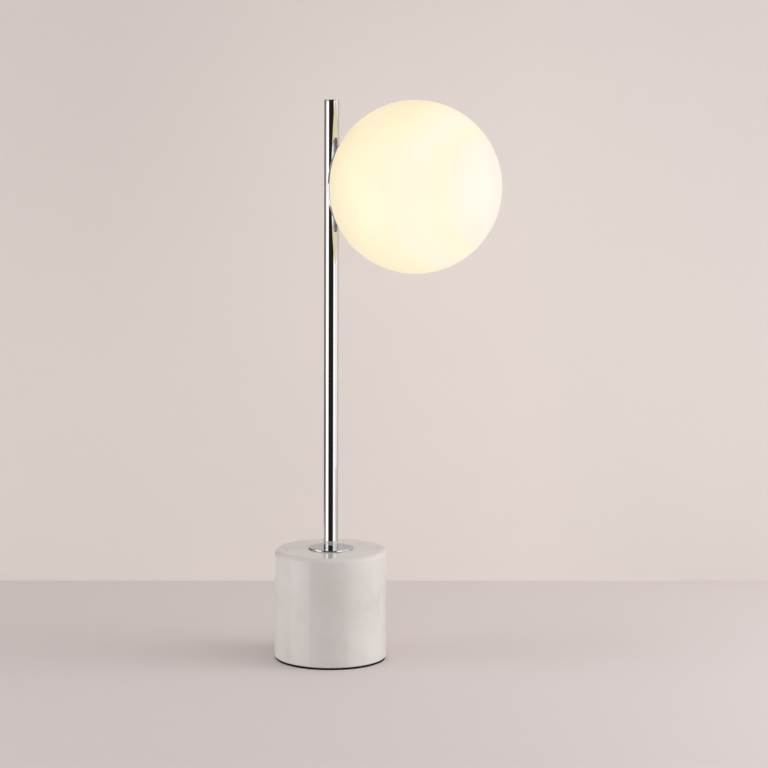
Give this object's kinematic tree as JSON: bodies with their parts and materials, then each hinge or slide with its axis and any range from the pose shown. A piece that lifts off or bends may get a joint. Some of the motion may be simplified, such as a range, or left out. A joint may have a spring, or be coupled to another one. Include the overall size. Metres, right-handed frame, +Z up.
{
  "type": "glass globe table lamp",
  "caption": "Table lamp with a lit opal glass globe held at the side of a thin chrome pole on a round marble drum.",
  "frame": {"origin": "centre of the round foot, on the table", "axes": "+Z up along the pole, +X from the pole to the globe along the arm, +Y by the right-hand rule"},
  "size_m": [0.2095, 0.15, 0.5],
  "materials": {
    "marble": "polished, soft grey veins",
    "chrome": "mirror polished",
    "opal_glass": "glossy opal, lit from inside",
    "black_rubber": "matt",
    "zinc_steel": "zinc plated",
    "spring_steel": "bright strip",
    "brass": "bare",
    "white_plastic": "satin",
    "ceramic": "unglazed white",
    "brown_wire": "satin",
    "blue_wire": "satin",
    "nickel": "nickel plated",
    "black_insulator": "gloss",
    "led_board": "white coated",
    "opal_plastic": "frosted, lit from inside"
  },
  "bodies": {
    "stand": {"marble_base": "marble", "pole_tube": "chrome", "pole_top_cap": "chrome", "collar_flange": "chrome", "arm_stub": "chrome", "globe_back_plate": "chrome", "foot_pad": "black_rubber", "plate_gasket": "black_rubber", "soft_washer": "black_rubber", "cord_grommet": "black_rubber", "pole_foot_insert": "zinc_steel", "tie_rod": "zinc_steel", "clamp_washer": "zinc_steel", "lock_washer": "zinc_steel", "tie_nut": "zinc_steel", "holder_nipple": "zinc_steel", "nipple_locknut": "zinc_steel", "spring_rivet_1": "zinc_steel", "spring_rivet_2": "zinc_steel", "spring_rivet_3": "zinc_steel", "terminal_screw_1": "zinc_steel", "terminal_screw_2": "zinc_steel", "terminal_screw_3": "zinc_steel", "terminal_screw_4": "zinc_steel", "globe_spring_1": "spring_steel", "globe_spring_2": "spring_steel", "globe_spring_3": "spring_steel", "terminal_tube_1": "brass", "terminal_tube_2": "brass", "centre_contact": "brass", "holder_terminal_1": "brass", "holder_terminal_2": "brass", "screw_shell": "brass", "terminal_block": "white_plastic", "holder_dome": "white_plastic", "holder_skirt": "white_plastic", "holder_core": "ceramic", "live_wire": "brown_wire", "neutral_wire": "blue_wire"},
    "globe": {"glass_globe": "opal_glass"},
    "bulb_tip": {"bulb_tip_contact": "brass"},
    "bulb": {"bulb_diffuser": "opal_plastic", "bulb_housing": "white_plastic", "bulb_screw_cap": "nickel", "bulb_insulator": "black_insulator", "bulb_led_board": "led_board"}
  },
  "joints": [
    {"name": "globe_pull", "type": "slide", "parent": "stand", "child": "globe", "axis": [1, 0, 0], "range_m": [0, 0.118], "deforming": ["globe_spring_1", "globe_spring_2", "globe_spring_3"]},
    {"name": "bulb_advance", "type": "slide", "parent": "stand", "child": "bulb_tip", "axis": [1, 0, 0], "range_m": [0, 0.017]},
    {"name": "bulb_turn", "type": "hinge", "parent": "bulb_tip", "child": "bulb", "pos_m": [0.09, 0, 0.425], "axis": [1, 0, 0], "range_deg": [0, 2160]}
  ],
  "couplings": [
    {"joint": "bulb_advance", "follows": "bulb_turn", "m_per_rad": 0.00044882}
  ]
}
